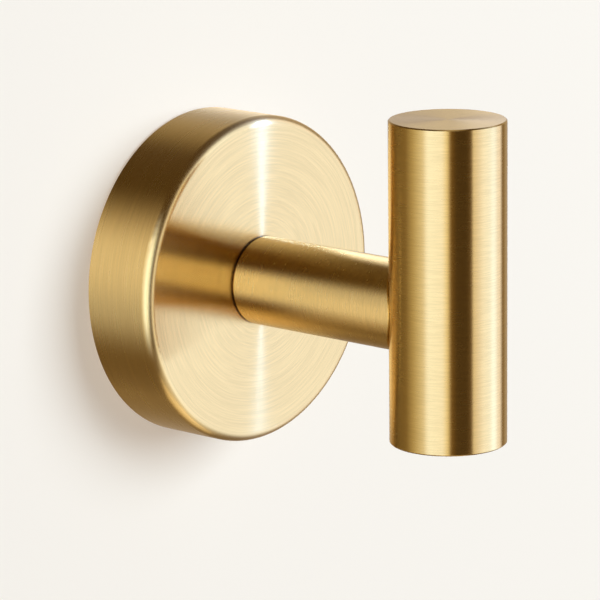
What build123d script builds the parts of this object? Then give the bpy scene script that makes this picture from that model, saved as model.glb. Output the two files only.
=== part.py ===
from build123d import *
import os
from math import isclose, radians, tan

# Wall coat hook: a round rosette, a horizontal arm and an upright crossbar.
# The origin is the rosette's centre on the wall. The wall is the plane Y = 0,
# the hook stands out towards -Y, and +Z is up. Sizes are millimetres.

# Rosette, the turned cover on the wall
ROSETTE_DIAMETER = 52.0
ROSETTE_DEPTH = 13.0
ROSETTE_WALL = 4.0
ROSETTE_WEB = 4.0
ROSETTE_EDGE_RADIUS = 1.5
ROSETTE_BACK_BREAK = 0.3

# Crossbar and the arm that carries it
PROJECTION = 60.0
BAR_DIAMETER = 18.0
BAR_LENGTH = 50.0
BAR_BELOW_ARM = 20.0
BAR_EDGE_BREAK = 0.2
ARM_DIAMETER = 14.0
ARM_ROOT_BREAK = 0.4
ARM_SADDLE_BREAK = 0.25
SPIGOT_DIAMETER = 9.0
SPIGOT_LENGTH = 2.0

# Low-head socket screw that ties the arm and the crossbar to the rosette
TIE_DIAMETER = 6.0
TIE_ENGAGEMENT = 10.4
TIE_HEAD_DIAMETER = 10.0
TIE_HEAD_HEIGHT = 4.0
TIE_SOCKET_WIDTH = 4.0
TIE_SOCKET_DEPTH = 2.3
TIE_HEAD_BREAK = 0.5
TIE_TIP_BREAK = 0.8
TAP_RUNOUT = 1.6
DRILL_POINT_ANGLE = 118.0

# Split spring washer under its head
WASHER_DIAMETER = 11.8
WASHER_THICKNESS = 1.6
WASHER_SPLIT = 0.8
WASHER_SPLIT_ANGLE = 20.0

# Wall bracket, a round plate with an undercut rim
BRACKET_THICKNESS = 6.0
BRACKET_LIP = 1.5
BRACKET_BEVEL = 2.5
BRACKET_EDGE_BREAK = 0.4
SLOT_WIDTH = 4.5
SLOT_LENGTH = 7.0
SLOT_COUNTERSINK = 1.8
SLOT_RIM_MARGIN = 0.9

# Cone-point grub screw through the bottom of the rosette
GRUB_DIAMETER = 4.0
GRUB_RECESS = 0.5
GRUB_SOCKET_WIDTH = 2.0
GRUB_SOCKET_DEPTH = 1.6
GRUB_POINT_FLAT = 0.6

# Clearances, on the radius
THREAD_FIT = 0.05
SPIGOT_FIT = 0.05
SADDLE_FIT = 0.05
POINT_FIT = 0.05
SCREW_CLEARANCE = 0.2
BRACKET_CLEARANCE = 0.3
HEAD_CLEARANCE = 0.8

# Radii that follow from them
rosette_radius = ROSETTE_DIAMETER / 2
rosette_bore = rosette_radius - ROSETTE_WALL
bar_radius = BAR_DIAMETER / 2
arm_radius = ARM_DIAMETER / 2
spigot_radius = SPIGOT_DIAMETER / 2
tie_radius = TIE_DIAMETER / 2
tie_hole = tie_radius + SCREW_CLEARANCE
washer_radius = WASHER_DIAMETER / 2
bracket_radius = rosette_bore - BRACKET_CLEARANCE
bracket_foot = bracket_radius - BRACKET_BEVEL
bracket_hole = washer_radius + HEAD_CLEARANCE
grub_radius = GRUB_DIAMETER / 2

# Distances from the wall, along the arm
web_back = ROSETTE_DEPTH - ROSETTE_WEB
tie_seat = web_back - WASHER_THICKNESS
tie_top = tie_seat - TIE_HEAD_HEIGHT
spigot_end = ROSETTE_DEPTH - SPIGOT_LENGTH
bar_axis = PROJECTION - bar_radius
bar_back = bar_axis - bar_radius
tie_tip = bar_back + TIE_ENGAGEMENT
tap_end = tie_tip + TAP_RUNOUT
lip_back = BRACKET_THICKNESS - BRACKET_LIP
foot_front = lip_back - BRACKET_BEVEL
grub_axis = (lip_back + foot_front) / 2

# Distances from the arm's axis
bar_bottom = -BAR_BELOW_ARM
slot_centre = bracket_foot - SLOT_RIM_MARGIN - SLOT_LENGTH / 2 - SLOT_COUNTERSINK
grub_point = bracket_foot + BRACKET_BEVEL / 2 + POINT_FIT
grub_end = rosette_radius - GRUB_RECESS

TOUCH = 1e-4


def turned(points):
    """Solid turned about the arm's axis from (radius, distance from the wall) points."""
    outline = Polyline(*[(radius, -out) for radius, out in points], close=True)
    return revolve(make_face(outline), Axis.Y)


def rod(radius, start, end):
    """Round rod on the arm's axis between two distances from the wall."""
    return turned([(0, start), (radius, start), (radius, end), (0, end)])


def drilled(radius, start, end):
    """Blind hole on the arm's axis, with the cone that a drill leaves past its full depth."""
    cone = radius / tan(radians(DRILL_POINT_ANGLE / 2))
    return turned([(0, start), (radius, start), (radius, end), (0, end + cone)])


def rim(solid, radius, out):
    """Edges that run round the arm's axis at one radius and one distance from the wall."""
    circles = solid.edges().filter_by(GeomType.CIRCLE)
    return circles.filter_by(
        lambda edge: isclose(edge.radius, radius, abs_tol=TOUCH)
        and isclose(-edge.arc_center.Y, out, abs_tol=TOUCH)
    )


def bar_stock(radius):
    """Upright cylinder on the crossbar's axis, over the crossbar's whole length."""
    base = Plane.XY.offset(bar_bottom) * Pos(0, -bar_axis, 0)
    return extrude(base * Circle(radius), BAR_LENGTH)


def hexagon_hole(plane, width, depth):
    """Socket for a hexagon key, cut along a plane's normal; width is across the flats."""
    outline = RegularPolygon(width / 2, 6, major_radius=False)
    return extrude(plane * outline, depth)


def make_rosette():
    """Turned cup with a flat face, a register for the arm and a tapped hole underneath."""
    cup = turned([
        (0, web_back),
        (rosette_bore, web_back),
        (rosette_bore, 0),
        (rosette_radius, 0),
        (rosette_radius, ROSETTE_DEPTH),
        (0, ROSETTE_DEPTH),
    ])
    cup = fillet(rim(cup, rosette_radius, ROSETTE_DEPTH), ROSETTE_EDGE_RADIUS)
    cup = chamfer(rim(cup, rosette_radius, 0) + rim(cup, rosette_bore, 0), ROSETTE_BACK_BREAK)
    cup -= rod(spigot_radius + SPIGOT_FIT, spigot_end - SPIGOT_FIT, ROSETTE_DEPTH)
    cup -= rod(tie_hole, web_back, ROSETTE_DEPTH)
    tapped = Circle(grub_radius + THREAD_FIT)
    cup -= extrude(Plane.XY * Pos(0, -grub_axis, 0) * tapped, -rosette_radius)
    return cup


def make_arm():
    """Drilled round post with a spigot for the rosette and a saddle cut to the crossbar."""
    post = rod(arm_radius, ROSETTE_DEPTH, bar_axis)
    post = chamfer(rim(post, arm_radius, ROSETTE_DEPTH), ARM_ROOT_BREAK)
    post -= bar_stock(bar_radius + SADDLE_FIT)
    saddle_edges = post.edges().filter_by(GeomType.CIRCLE, reverse=True).filter_by(GeomType.LINE, reverse=True)
    post = chamfer(saddle_edges, ARM_SADDLE_BREAK)
    post += rod(spigot_radius, spigot_end, ROSETTE_DEPTH)
    return post - rod(tie_hole, spigot_end, bar_axis)


def make_crossbar():
    """Solid round bar with softened ends and one blind tapped hole across it."""
    bar = bar_stock(bar_radius)
    bar = chamfer(bar.edges().filter_by(GeomType.CIRCLE), BAR_EDGE_BREAK)
    return bar - drilled(tie_radius + THREAD_FIT, bar_back, tap_end)


def make_tie_screw():
    """Low-head socket screw; its head faces the wall and its tip is inside the crossbar."""
    head = rod(TIE_HEAD_DIAMETER / 2, tie_top, tie_seat)
    head = chamfer(rim(head, TIE_HEAD_DIAMETER / 2, tie_top), TIE_HEAD_BREAK)
    shank = rod(tie_radius, tie_seat, tie_tip)
    shank = chamfer(rim(shank, tie_radius, tie_tip), TIE_TIP_BREAK)
    top = Plane(origin=(0, -tie_top, 0), x_dir=(1, 0, 0), z_dir=(0, -1, 0))
    return head + shank - hexagon_hole(top, TIE_SOCKET_WIDTH, TIE_SOCKET_DEPTH)


def make_lock_washer():
    """Flat-clamped split spring washer with a slanted slit at its top."""
    ring = rod(washer_radius, tie_seat, web_back) - rod(tie_hole, tie_seat, web_back)
    middle = (tie_seat + web_back) / 2
    slit = Box(WASHER_SPLIT, 4 * WASHER_THICKNESS, washer_radius, align=(Align.CENTER, Align.CENTER, Align.MIN))
    return ring - Pos(0, -middle, 0) * Rot(0, 0, WASHER_SPLIT_ANGLE) * slit


def make_wall_bracket():
    """Round plate with an undercut rim, a hole for the screw head and two countersunk slots."""
    plate = turned([
        (bracket_hole, 0),
        (bracket_foot, 0),
        (bracket_foot, foot_front),
        (bracket_radius, lip_back),
        (bracket_radius, BRACKET_THICKNESS),
        (bracket_hole, BRACKET_THICKNESS),
    ])
    plate = chamfer(rim(plate, bracket_radius, BRACKET_THICKNESS), BRACKET_EDGE_BREAK)
    back = Plane(origin=(0, 0, 0), x_dir=(0, 0, 1), z_dir=(0, -1, 0))
    front = back.offset(BRACKET_THICKNESS)
    for side in (-1, 1):
        place = Pos(side * slot_centre, 0, 0)
        slot = SlotOverall(SLOT_LENGTH, SLOT_WIDTH)
        mouth = SlotOverall(SLOT_LENGTH + 2 * SLOT_COUNTERSINK, SLOT_WIDTH + 2 * SLOT_COUNTERSINK)
        plate -= extrude(back * place * slot, BRACKET_THICKNESS)
        plate -= loft([front.offset(-SLOT_COUNTERSINK) * place * slot, front * place * mouth])
    return plate


def make_grub_screw():
    """Socket set screw standing upright in the rosette's wall, cone point up on the bracket."""
    cone = grub_radius - GRUB_POINT_FLAT / 2
    flat = grub_point + GRUB_POINT_FLAT / 2
    outline = Polyline(
        (0, -flat),
        (GRUB_POINT_FLAT / 2, -flat),
        (grub_radius, -flat - cone),
        (grub_radius, -grub_end),
        (0, -grub_end),
        close=True,
    )
    screw = revolve(make_face(Plane.XZ * outline), Axis.Z)
    bottom = Plane(origin=(0, 0, -grub_end), x_dir=(1, 0, 0), z_dir=(0, 0, 1))
    screw -= hexagon_hole(bottom, GRUB_SOCKET_WIDTH, GRUB_SOCKET_DEPTH)
    return Pos(0, -grub_axis, 0) * screw


PARTS = {
    "rosette": make_rosette,
    "arm": make_arm,
    "crossbar": make_crossbar,
    "tie_screw": make_tie_screw,
    "lock_washer": make_lock_washer,
    "wall_bracket": make_wall_bracket,
    "grub_screw": make_grub_screw,
}

os.makedirs("parts", exist_ok=True)
for name, make in PARTS.items():
    export_step(make(), os.path.join("parts", name + ".step"))
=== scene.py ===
import math
import bmesh
import bpy
from mathutils import Matrix, Vector


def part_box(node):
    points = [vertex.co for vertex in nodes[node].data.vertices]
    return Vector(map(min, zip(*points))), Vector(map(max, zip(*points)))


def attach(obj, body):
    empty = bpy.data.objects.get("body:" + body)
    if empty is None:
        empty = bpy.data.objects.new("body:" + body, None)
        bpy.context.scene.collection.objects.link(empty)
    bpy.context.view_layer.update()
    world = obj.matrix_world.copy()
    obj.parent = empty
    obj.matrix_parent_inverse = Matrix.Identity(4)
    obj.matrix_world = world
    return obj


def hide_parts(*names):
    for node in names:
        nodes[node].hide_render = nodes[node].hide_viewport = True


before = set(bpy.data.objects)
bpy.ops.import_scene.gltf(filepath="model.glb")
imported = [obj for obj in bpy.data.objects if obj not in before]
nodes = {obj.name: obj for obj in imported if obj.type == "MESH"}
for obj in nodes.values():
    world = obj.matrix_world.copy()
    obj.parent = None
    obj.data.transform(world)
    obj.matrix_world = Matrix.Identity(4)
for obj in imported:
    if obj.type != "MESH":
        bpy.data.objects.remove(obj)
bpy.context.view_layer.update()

# The object that stands for each node; the threaded screws take the places of their plain solids
shown = dict(nodes)

# Camera, from the outlines of the hook in the photograph
CAMERA_AIM = Vector((-0.0022, -0.0230, -0.00145))
CAMERA_AZIMUTH = -48.49
CAMERA_ELEVATION = 12.89
CAMERA_ROLL = -0.60
CAMERA_DISTANCE = 0.63
CAMERA_LENS = 242.6
CAMERA_REACH = 10.0

STEEL_NODES = ["wall_bracket", "tie_screw", "lock_washer", "grub_screw"]

# Directions; the pieces were turned and brushed about the first two
ALONG_ARM = Vector((0, 1, 0))
UPRIGHT = Vector((0, 0, 1))
SIDEWAYS = Vector((1, 0, 0))

# Colours
BRASS = (0.88, 0.62, 0.24)
STEEL = (0.58, 0.57, 0.55)
SCREW_STEEL = (0.42, 0.42, 0.42)
# Painted shade: dark brown of the contact shadow painted round the arm's root
SEAM_PAINTED_SHADE = (0.10, 0.05, 0.012)
WALL = (0.93, 0.905, 0.855)
WALL_SHADE = (0.475, 0.41, 0.35)
WARM_LIGHT = (1.0, 0.90, 0.75)
COOL_LIGHT = (1.0, 1.08, 1.25)

# The studio that the metal mirrors: (azimuth, light) round the horizon, 0 straight out from the wall
ROOM_ROUND = [
    (-180, (0.10, 0.07, 0.03)),  # dark behind the hook
    (-140, (0.26, 0.19, 0.09)),
    (-122, (0.60, 0.53, 0.35)),
    (-110, (0.84, 0.82, 0.73)),  # soft edge of the left-hand field
    (-99, (1.07, 1.11, 1.21)),
    (-94, (1.36, 1.56, 2.18)),
    (-88, (1.50, 1.80, 2.65)),  # bright field on the left
    (-62, (1.44, 1.68, 2.40)),
    (-52, (1.20, 1.18, 1.05)),
    (-45, (0.17, 0.09, 0.01)),  # dark gap between the two fields
    (-34, (0.040, 0.022, 0.006)),
    (-14, (0.040, 0.022, 0.006)),
    (-3, (0.12, 0.07, 0.02)),
    (-1, (1.03, 1.00, 1.00)),  # bright field on the right
    (13, (1.09, 1.17, 1.58)),
    (23, (1.22, 1.41, 2.10)),
    (35, (1.17, 1.42, 2.28)),
    (45, (1.06, 1.24, 1.95)),
    (55, (1.01, 1.19, 1.90)),
    (71, (1.20, 1.28, 1.82)),
    (79, (0.22, 0.15, 0.07)),  # dark gap beside the wall
    (86, (0.22, 0.15, 0.07)),
    (95, (0.42, 0.35, 0.25)),  # glow behind on the right
    (110, (0.46, 0.39, 0.32)),
    (125, (0.54, 0.515, 0.53)),
    (148, (0.46, 0.40, 0.34)),
    (165, (0.22, 0.15, 0.08)),  # dark behind the hook
    (180, (0.10, 0.07, 0.03)),
]

# Above and below, this ring of light fades out, a little later on the right-hand side.
# The fade, the horizon and the right-hand side are measured on a unit direction.
ROOM_ABOVE = (0.08, 0.048, 0.015)
ROOM_BELOW = (0.17, 0.115, 0.055)
ROOM_FADE = (0.30, 0.75)
ROOM_HORIZON = 0.2
RIGHT_SIDE = (0.0, 0.5)
RIGHT_LIFT = 0.12

# Threads: (share of the pitch, height) from root to crest and back, and a depth in pitches
THREAD_PROFILE = [(0.0, 0.0), (0.25, 0.0), (0.5625, 1.0), (0.6875, 1.0), (1.0, 0.0)]
THREAD_DEPTH = 0.541

# Screws, in metres and degrees: a low-head socket screw and a grub screw with a cone point
SCREW_SIDES = 36
HEXAGON_STEP = 60
TIE_RADIUS, TIE_PITCH, TIE_THREAD = 0.003, 0.001, 0.018
TIE_HEAD_HEIGHT, TIE_HEAD_BREAK, TIE_TIP_BREAK = 0.004, 0.0005, 0.0008
TIE_SOCKET_WIDTH, TIE_SOCKET_DEPTH = 0.004, 0.0023
GRUB_PITCH, GRUB_POINT_FLAT = 0.0007, 0.0006
GRUB_SOCKET_WIDTH, GRUB_SOCKET_DEPTH = 0.002, 0.0016
JOIN_DISTANCE = 1e-7
SHARP_ANGLE = 25

# Metal finishes; a quarter turn spreads highlights across the lines, and faces square to the axis
# that a piece is brushed about are smoother
BRASS_FINISH = {"roughness": 0.27, "anisotropy": 1.0}
STEEL_FINISH = {"roughness": 0.38, "anisotropy": 0.7}
ACROSS_LINES = 0.25
FACE_POLISH = 0.70

# Brushing: lines to the metre and their share, how often a line changes on its way round, and how
# much the lines change the colour and the roughness
FINE_LINES, FINE_SHARE = 5200.0, 0.8
BROAD_LINES, BROAD_SHARE = 1800.0, 0.2
LINE_CHANGES = 3.0
LINE_DETAIL = 2.0
LINE_CONTRAST = (0.3, 0.7)
LINE_TINT = (0.93, 1.05)
LINE_ROUGHNESS = (0.95, 1.05)

# Painted shade: a dark line painted where the arm meets the rosette's face, in place of the contact shadow
# in that corner
SEAM_SHADE_WIDTH = (0.0001, 0.0003)
SEAM_SHADE_DEPTH = 0.0002

# Wall and backdrop
WALL_HALF_SIZE = 3.0
WALL_GAP = 0.0002
WALL_MATT = 0.55
WALL_FADE = (0.20, 0.60)
BACKDROP_RADIUS = 3.0
BACKDROP_SUBDIVISIONS = 3

# Lamps: the usual distance, and how far from its middle a soft lamp ends and is full, as shares of
# its size
LAMP_DISTANCE = 0.9
LAMP_EDGE = (0.5, 0.1)


class Graph:
    """Short calls for building one node tree.

    An input may be a number, a vector or another node's output.
    """

    def __init__(self, tree):
        self.tree = tree
        tree.nodes.clear()

    def put(self, socket, value):
        """Links another node's output to a socket, or sets the socket to a constant."""
        if isinstance(value, bpy.types.NodeSocket):
            self.tree.links.new(value, socket)
        else:
            socket.default_value = value

    def add(self, kind, inputs=None, **settings):
        """New node with its settings and some of its inputs filled in."""
        node = self.tree.nodes.new(kind)
        for name, value in settings.items():
            setattr(node, name, value)
        for name, value in (inputs or {}).items():
            self.put(node.inputs[name], value)
        return node

    def math(self, operation, first, second=0.0):
        return self.add("ShaderNodeMath", {0: first, 1: second}, operation=operation).outputs[0]

    def vector(self, operation, first, second=(0, 0, 0)):
        node = self.add("ShaderNodeVectorMath", {0: first, 1: second}, operation=operation)
        return node.outputs["Value" if operation in ("DOT_PRODUCT", "LENGTH") else "Vector"]

    def scale(self, vector, factor):
        node = self.add("ShaderNodeVectorMath", {0: vector, "Scale": factor}, operation="SCALE")
        return node.outputs["Vector"]

    def step(self, value, low, high):
        """Smooth rise from 0 to 1 as value goes from low to high."""
        node = self.add(
            "ShaderNodeMapRange",
            {"Value": value, "From Min": low, "From Max": high},
            interpolation_type="SMOOTHSTEP",
        )
        return node.outputs["Result"]

    def spread(self, value, low, high):
        """Value between 0 and 1 carried over to the range from low to high."""
        node = self.add("ShaderNodeMapRange", {"Value": value, "To Min": low, "To Max": high})
        return node.outputs["Result"]

    def blend(self, factor, first, second):
        """Colour that goes from first to second as factor goes from 0 to 1."""
        node = self.add("ShaderNodeMix", data_type="RGBA")
        colours = [socket for socket in node.inputs if socket.type == "RGBA"]
        for socket, value in zip([node.inputs["Factor"], *colours], (factor, first, second)):
            self.put(socket, value)
        return next(socket for socket in node.outputs if socket.type == "RGBA")


def opaque(colour, shade=1.0):
    """Colour with full alpha, made darker or lighter by a shade."""
    return (colour[0] * shade, colour[1] * shade, colour[2] * shade, 1.0)


def new_material(name):
    """Empty material and the graph of its nodes."""
    material = bpy.data.materials.new(name)
    material.use_nodes = True
    return material, Graph(material.node_tree)


def add_object(name, data):
    """Object in the scene for a mesh, a lamp or a camera."""
    thing = bpy.data.objects.new(name, data)
    bpy.context.scene.collection.objects.link(thing)
    return thing


def brushed_lines(graph, axis, along, outward, radius):
    """Fine and broad noise that runs in circles about an axis."""
    layers = []
    for density in (FINE_LINES, BROAD_LINES):
        ring = graph.scale(axis, graph.math("MULTIPLY", radius, density))
        spot = graph.vector("ADD", graph.scale(outward, LINE_CHANGES), ring)
        height = graph.math("MULTIPLY", along, density)
        noise = graph.add(
            "ShaderNodeTexNoise",
            {"Vector": spot, "W": height, "Scale": 1.0, "Detail": LINE_DETAIL},
            noise_dimensions="4D",
        )
        layers.append(noise.outputs["Fac"])
    return layers


def paint_seam_shade(graph, tint, radius, along, shaded_seam):
    """Tint with painted shade round a ring of (radius, height) where two pieces meet, in place of the
    shadow in that corner.
    """
    aside = graph.math("SUBTRACT", radius, shaded_seam[0] - SEAM_SHADE_DEPTH)
    above = graph.math("SUBTRACT", along, shaded_seam[1] - SEAM_SHADE_DEPTH)
    squares = graph.math("ADD", graph.math("POWER", aside, 2), graph.math("POWER", above, 2))
    away = graph.math("SQRT", squares)
    return graph.blend(graph.step(away, *SEAM_SHADE_WIDTH), opaque(SEAM_PAINTED_SHADE), tint)


def brushed_metal(name, colour, axis, centre, roughness, anisotropy, shaded_seam=None):
    """Metal brushed in fine circles about an axis, so that its highlights spread across the lines."""
    material, graph = new_material(name)
    place = graph.add("ShaderNodeTexCoord").outputs["Object"]
    place = graph.vector("SUBTRACT", place, centre)
    along = graph.vector("DOT_PRODUCT", place, axis)
    outward = graph.vector("SUBTRACT", place, graph.scale(axis, along))
    radius = graph.vector("LENGTH", outward)
    outward = graph.vector("NORMALIZE", outward)
    fine, broad = brushed_lines(graph, axis, along, outward, radius)
    fine_part = graph.math("MULTIPLY", fine, FINE_SHARE)
    broad_part = graph.math("MULTIPLY", broad, BROAD_SHARE)
    lines = graph.step(graph.math("ADD", fine_part, broad_part), *LINE_CONTRAST)
    tint = graph.blend(lines, *(opaque(colour, shade) for shade in LINE_TINT))
    # Painted shade round the ring where the arm meets the rosette
    if shaded_seam:
        tint = paint_seam_shade(graph, tint, radius, along, shaded_seam)
    rough = graph.spread(broad, *(roughness * share for share in LINE_ROUGHNESS))
    normal = graph.add("ShaderNodeNewGeometry").outputs["Normal"]
    facing = graph.math("ABSOLUTE", graph.vector("DOT_PRODUCT", normal, axis))
    rough = graph.math("MULTIPLY", rough, graph.spread(facing, 1.0, FACE_POLISH))
    shader = graph.add(
        "ShaderNodeBsdfPrincipled",
        {
            "Base Color": tint,
            "Metallic": 1.0,
            "Roughness": rough,
            "Anisotropic": anisotropy,
            "Anisotropic Rotation": ACROSS_LINES,
            "Tangent": graph.vector("CROSS_PRODUCT", axis, outward),
        },
    )
    graph.add("ShaderNodeOutputMaterial", {"Surface": shader.outputs["BSDF"]})
    return material


def middle(node):
    """Centre of a node's box."""
    low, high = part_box(node)
    return (low + high) / 2


def dress(names, material):
    """Gives CAD nodes one material."""
    for name in names:
        nodes[name].data.materials.clear()
        nodes[name].data.materials.append(material)


def finish_metal():
    """Dresses every node in its metal and threads the two screws."""
    root = ((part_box("arm")[1].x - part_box("arm")[0].x) / 2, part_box("rosette")[0].y)
    # The rosette's and arm's brass carries a painted contact shadow round the arm's root
    brass = brushed_metal("brass_along_arm", BRASS, ALONG_ARM, Vector(), shaded_seam=root, **BRASS_FINISH)
    dress(["rosette", "arm"], brass)
    dress(["crossbar"], brushed_metal("brass_upright", BRASS, UPRIGHT, middle("crossbar"), **BRASS_FINISH))
    dress(["wall_bracket"], brushed_metal("bracket_steel", STEEL, ALONG_ARM, Vector(), **STEEL_FINISH))
    screw = brushed_metal("screw_steel", SCREW_STEEL, ALONG_ARM, Vector(), **STEEL_FINISH)
    dress(["tie_screw", "lock_washer"], screw)
    grub = brushed_metal("grub_steel", SCREW_STEEL, UPRIGHT, middle("grub_screw"), **STEEL_FINISH)
    dress(["grub_screw"], grub)
    thread_tie_screw(screw)
    thread_grub_screw(grub)


def plain_ring(radius, height):
    """Round ring of a turned mesh, with its last point on top of its first."""
    return [(radius, height)] * (SCREW_SIDES + 1)


def hexagon_ring(width, height):
    """Six-sided ring; width is across the flats."""
    half_step = HEXAGON_STEP / 2
    ring = []
    for side in range(SCREW_SIDES + 1):
        from_flat = (360 * side / SCREW_SIDES + half_step) % HEXAGON_STEP - half_step
        ring.append((width / 2 / math.cos(math.radians(from_flat)), height))
    return ring


def thread_height(phase):
    """Height of a thread's profile, from 0 at the root to 1 at the crest, at a share of the pitch."""
    for (low, first), (high, second) in zip(THREAD_PROFILE, THREAD_PROFILE[1:]):
        if phase <= high:
            return first + (second - first) * (phase - low) / (high - low)
    return 0.0


def thread_rings(radius, pitch, start, end, tip_break=0.0):
    """Rings that climb one pitch in a turn and are cut off at both ends of the thread."""
    rings = []
    for turn in range(-1, math.ceil((end - start) / pitch) + 1):
        for share, _ in THREAD_PROFILE[:-1]:
            ring = []
            for side in range(SCREW_SIDES + 1):
                height = start + pitch * (turn + share + side / SCREW_SIDES)
                height = min(max(height, start), end)
                phase = ((height - start) / pitch - side / SCREW_SIDES) % 1.0
                reach = radius - THREAD_DEPTH * pitch * (1 - thread_height(phase))
                ring.append((min(reach, radius - tip_break + end - height), height))
            rings.append(ring)
    return rings


def ring_points(rings, origin, along):
    """Points of rings of (radius, height) about an axis."""
    across = along.orthogonal().normalized()
    beside = along.cross(across)
    points = []
    for ring in rings:
        for side, (radius, height) in enumerate(ring):
            angle = math.tau * side / SCREW_SIDES
            spoke = across * math.cos(angle) + beside * math.sin(angle)
            points.append(origin + spoke * radius + along * height)
    return points


def turned_piece(name, rings, origin, along):
    """Closed mesh through rings of (radius, height) about an axis; points that meet are joined."""
    wide = SCREW_SIDES + 1
    faces = []
    for row in range(len(rings) - 1):
        for side in range(SCREW_SIDES):
            corner = row * wide + side
            faces.append((corner, corner + 1, corner + wide + 1, corner + wide))
    mesh = bpy.data.meshes.new(name)
    mesh.from_pydata(ring_points(rings, origin, along), [], faces)
    shape = bmesh.new()
    shape.from_mesh(mesh)
    bmesh.ops.remove_doubles(shape, verts=shape.verts, dist=JOIN_DISTANCE)
    bmesh.ops.recalc_face_normals(shape, faces=shape.faces)
    shape.to_mesh(mesh)
    shape.free()
    mesh.shade_smooth()
    mesh.set_sharp_from_angle(angle=math.radians(SHARP_ANGLE))
    return add_object(name, mesh)


def seat_screw(piece, node, material):
    """Puts a threaded screw in the place of its plain solid."""
    piece.data.materials.append(material)
    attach(piece, "root")
    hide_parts(node)
    shown[node] = piece


def thread_tie_screw(material):
    """Low-head socket screw with a thread on the end of its shank."""
    low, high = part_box("tie_screw")
    length = high.y - low.y
    head = (high.x - low.x) / 2
    rings = [
        plain_ring(0, TIE_SOCKET_DEPTH),
        hexagon_ring(TIE_SOCKET_WIDTH, TIE_SOCKET_DEPTH),
        hexagon_ring(TIE_SOCKET_WIDTH, 0),
        plain_ring(head - TIE_HEAD_BREAK, 0),
        plain_ring(head, TIE_HEAD_BREAK),
        plain_ring(head, TIE_HEAD_HEIGHT),
        plain_ring(TIE_RADIUS, TIE_HEAD_HEIGHT),
        plain_ring(TIE_RADIUS, length - TIE_THREAD),
        *thread_rings(TIE_RADIUS, TIE_PITCH, length - TIE_THREAD, length, TIE_TIP_BREAK),
        plain_ring(0, length),
    ]
    top = Vector((0, high.y, 0))
    seat_screw(turned_piece("threaded_tie_screw", rings, top, -ALONG_ARM), "tie_screw", material)


def thread_grub_screw(material):
    """Grub screw with a thread from its socket up to its cone point."""
    low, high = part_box("grub_screw")
    length = high.z - low.z
    radius = (high.x - low.x) / 2
    cone = radius - GRUB_POINT_FLAT / 2
    rings = [
        plain_ring(0, GRUB_SOCKET_DEPTH),
        hexagon_ring(GRUB_SOCKET_WIDTH, GRUB_SOCKET_DEPTH),
        hexagon_ring(GRUB_SOCKET_WIDTH, 0),
        *thread_rings(radius, GRUB_PITCH, 0, length - cone),
        plain_ring(GRUB_POINT_FLAT / 2, length),
        plain_ring(0, length),
    ]
    bottom = middle("grub_screw")
    bottom.z = low.z
    seat_screw(turned_piece("threaded_grub_screw", rings, bottom, UPRIGHT), "grub_screw", material)


def square(name, origin, across, upward, half_size):
    """Flat square about an origin, facing across x upward."""
    corners = [(-1, -1), (1, -1), (1, 1), (-1, 1)]
    points = [origin + across * (u * half_size) + upward * (v * half_size) for u, v in corners]
    mesh = bpy.data.meshes.new(name)
    mesh.from_pydata(points, [], [(0, 1, 2, 3)])
    return add_object(name, mesh)


def wall_paint():
    """Pale matt wall that runs into the backdrop's colour and can be seen through from behind."""
    material, graph = new_material("wall_paint")
    matt = graph.add("ShaderNodeBsdfDiffuse", {"Color": opaque(WALL, WALL_MATT)})
    glow = graph.add("ShaderNodeEmission", {"Color": opaque(WALL_SHADE)})
    near = graph.add("ShaderNodeAddShader", {0: matt.outputs[0], 1: glow.outputs[0]})
    far = graph.add("ShaderNodeEmission", {"Color": opaque(WALL)})
    distance = graph.vector("LENGTH", graph.add("ShaderNodeTexCoord").outputs["Object"])
    fade = graph.step(distance, *WALL_FADE)
    paint = graph.add("ShaderNodeMixShader", {0: fade, 1: near.outputs[0], 2: far.outputs[0]})
    clear = graph.add("ShaderNodeBsdfTransparent")
    behind = graph.add("ShaderNodeNewGeometry").outputs["Backfacing"]
    mix = graph.add("ShaderNodeMixShader", {0: behind, 1: paint.outputs[0], 2: clear.outputs[0]})
    graph.add("ShaderNodeOutputMaterial", {"Surface": mix.outputs[0]})
    return material


def backdrop_paint():
    """Plain pale colour for what lies behind the hook when it is seen from the wall's side."""
    material, graph = new_material("backdrop_paint")
    glow = graph.add("ShaderNodeEmission", {"Color": opaque(WALL)})
    graph.add("ShaderNodeOutputMaterial", {"Surface": glow.outputs[0]})
    return material


def build_stage():
    """The wall that the hook is fixed to, and a pale backdrop all round."""
    wall = square("wall", Vector((0, WALL_GAP, 0)), SIDEWAYS, UPRIGHT, WALL_HALF_SIZE)
    wall.data.materials.append(wall_paint())
    wall.visible_glossy = False
    wall.visible_shadow = False
    dome = bpy.data.meshes.new("backdrop")
    shape = bmesh.new()
    bmesh.ops.create_icosphere(shape, subdivisions=BACKDROP_SUBDIVISIONS, radius=BACKDROP_RADIUS)
    shape.to_mesh(dome)
    shape.free()
    backdrop = add_object("backdrop", dome)
    dome.materials.append(backdrop_paint())
    backdrop.visible_diffuse = False
    backdrop.visible_glossy = False
    backdrop.visible_shadow = False


def direction(azimuth, elevation):
    """Unit vector towards an azimuth and elevation; azimuth 0 is straight out from the wall."""
    turn, lift = math.radians(azimuth), math.radians(elevation)
    return Vector((math.sin(turn) * math.cos(lift), -math.cos(turn) * math.cos(lift), math.sin(lift)))


def soften(lamp):
    """Lets a lamp fade out towards its edges."""
    lamp.use_nodes = True
    graph = Graph(lamp.node_tree)
    spot = graph.add("ShaderNodeNewGeometry").outputs["Parametric"]
    place = graph.add("ShaderNodeSeparateXYZ", {0: spot})
    glow = 1.0
    for share in place.outputs[:2]:
        from_middle = graph.math("ABSOLUTE", graph.math("SUBTRACT", share, 0.5))
        glow = graph.math("MULTIPLY", glow, graph.step(from_middle, *LAMP_EDGE))
    emission = graph.add("ShaderNodeEmission", {"Strength": glow})
    graph.add("ShaderNodeOutputLight", {"Surface": emission.outputs[0]})


def group(name, members):
    """Collection of the objects that stand for some nodes, for a lamp to be linked to."""
    collection = bpy.data.collections.new(name)
    for node in members:
        collection.objects.link(shown[node])
    return collection


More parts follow.
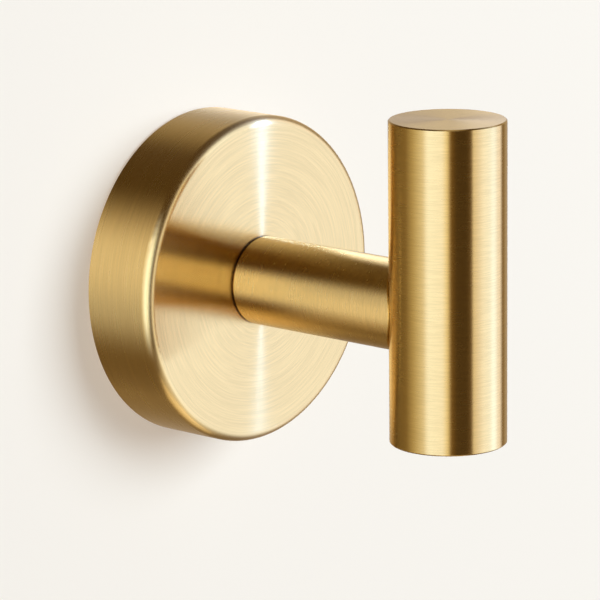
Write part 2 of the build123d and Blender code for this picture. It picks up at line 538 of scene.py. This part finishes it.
def softbox(
    name, azimuth, elevation, width, height, radiance,
    colour=(1, 1, 1), level=False, distance=LAMP_DISTANCE, only=None, about=None,
):
    """Rectangular lamp that faces the arm's middle, or another point that it stands about.

    A level lamp keeps its height square to the X axis. A lamp for only some nodes has soft edges.
    """
    lamp = bpy.data.lights.new(name, "AREA")
    lamp.shape = "RECTANGLE"
    lamp.size, lamp.size_y = width, height
    lamp.energy = radiance * math.pi * width * height
    lamp.color = colour
    out = direction(azimuth, elevation)
    upward = out.cross(SIDEWAYS) if level else UPRIGHT - out * out.dot(UPRIGHT)
    upward.normalize()
    turn = Matrix((upward.cross(out), upward, out)).transposed()
    target = middle("arm") if about is None else about
    box = add_object(name, lamp)
    box.matrix_world = Matrix.Translation(target + out * distance) @ turn.to_4x4()
    box.visible_camera = False
    box.visible_diffuse = False
    if only:
        soften(lamp)
        box.light_linking.receiver_collection = group(name, only)
    return box


def light_room():
    """World that the metal mirrors between the lamps."""
    world = bpy.data.worlds.new("room")
    bpy.context.scene.world = world
    world.use_nodes = True
    world.cycles_visibility.diffuse = False
    graph = Graph(world.node_tree)
    look = graph.add("ShaderNodeTexCoord").outputs["Generated"]
    part = graph.add("ShaderNodeSeparateXYZ", {0: look})
    across, inward, upward = part.outputs
    outward = graph.math("MULTIPLY", inward, -1.0)
    azimuth = graph.math("DEGREES", graph.math("ARCTAN2", across, outward))
    share = graph.add("ShaderNodeMapRange", {"Value": azimuth, "From Min": -180.0, "From Max": 180.0})
    ramp = graph.add("ShaderNodeValToRGB", {"Fac": share.outputs["Result"]})
    stops = ramp.color_ramp.elements
    while len(stops) < len(ROOM_ROUND):
        stops.new(0.5)
    for stop, (angle, colour) in zip(stops, ROOM_ROUND):
        stop.position = (angle + 180) / 360
        stop.color = opaque(colour)
    lift = graph.math("MULTIPLY", graph.step(across, *RIGHT_SIDE), RIGHT_LIFT)
    steepness = graph.math("SUBTRACT", graph.math("ABSOLUTE", upward), lift)
    above = graph.step(upward, -ROOM_HORIZON, ROOM_HORIZON)
    beyond = graph.blend(above, opaque(ROOM_BELOW), opaque(ROOM_ABOVE))
    seen = graph.blend(graph.step(steepness, *ROOM_FADE), ramp.outputs["Color"], beyond)
    background = graph.add("ShaderNodeBackground", {"Color": seen})
    graph.add("ShaderNodeOutputWorld", {"Surface": background.outputs[0]})


def light_studio():
    """Soft lamps, most of them for one piece alone, and a wash that lights the wall."""
    disc, arm, bar = ["rosette"], ["arm"], ["crossbar"]
    bar_end = middle("crossbar")
    bar_end.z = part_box("crossbar")[1].z
    softbox("floor", -20, -78, 0.70, 0.70, 0.50, colour=(1.0, 0.85, 0.6))
    softbox(
        "streak", 50, 14, 0.05, 1.00, 240.0,
        colour=(0.25, 0.54, 1.8), level=True, distance=2.5, only=disc,
    )
    softbox("rim_light", -131, 16, 0.70, 1.30, 0.50, colour=WARM_LIGHT, only=disc)
    softbox("rim_top", 133, 4, 0.60, 0.60, 1.2, colour=(1.0, 0.97, 0.85), only=disc)
    softbox("rim_warm", 148, 38, 0.55, 0.55, 0.24, colour=(1.0, 0.82, 0.4), only=disc)
    softbox("rim_edge", -48, 0, 0.60, 1.20, 1.0, colour=(0.8, 1.1, 1.7), only=disc)
    softbox("rim_floor", 6, -58, 1.20, 1.20, 0.46, colour=(1.0, 1.06, 1.2), only=disc)
    softbox("arm_light", -131, -21, 0.70, 1.50, 0.54, colour=WARM_LIGHT, only=arm)
    softbox("arm_edge", 134, 26, 0.60, 0.60, 2.5, colour=COOL_LIGHT, only=arm)
    softbox("bar_line", 50, -24, 0.40, 0.70, 0.70, colour=(0.8, 1.5, 3.5), only=bar)
    softbox("bar_top", 131, 30, 0.35, 0.35, 1.1, colour=(1.0, 1.02, 1.0), only=bar)
    softbox(
        "bar_ray", 122, 17, 0.02, 0.028, 0.65,
        colour=COOL_LIGHT, distance=0.08, only=bar, about=bar_end,
    )
    softbox("bar_ceiling", 0, 85, 0.60, 0.60, 0.60, colour=(1.0, 0.95, 0.9), only=bar)
    softbox("back", 180, 12, 1.40, 1.40, 0.80, only=STEEL_NODES)
    wash = softbox("wash", 30, 17, 1.45, 1.45, 8.7, colour=(0.87, 0.975, 1.05), distance=2.0)
    wash.visible_glossy = False
    wash.visible_diffuse = True
    # On the wall, only the rosette throws a shadow
    wash.light_linking.blocker_collection = group("wall_shadow", disc)


def place_camera():
    """Camera at the photograph's angle, turned a little about its own line of sight."""
    back = direction(CAMERA_AZIMUTH, CAMERA_ELEVATION)
    roll = Matrix.Rotation(math.radians(CAMERA_ROLL), 3, "Z")
    turn = back.to_track_quat("Z", "Y").to_matrix() @ roll
    lens = bpy.data.cameras.new("camera")
    lens.lens = CAMERA_LENS
    lens.clip_end = CAMERA_REACH
    camera = add_object("camera", lens)
    camera.matrix_world = Matrix.Translation(CAMERA_AIM + back * CAMERA_DISTANCE) @ turn.to_4x4()
    bpy.context.scene.camera = camera


finish_metal()
build_stage()
light_room()
light_studio()
place_camera()
bpy.context.scene.view_settings.view_transform = "Standard"
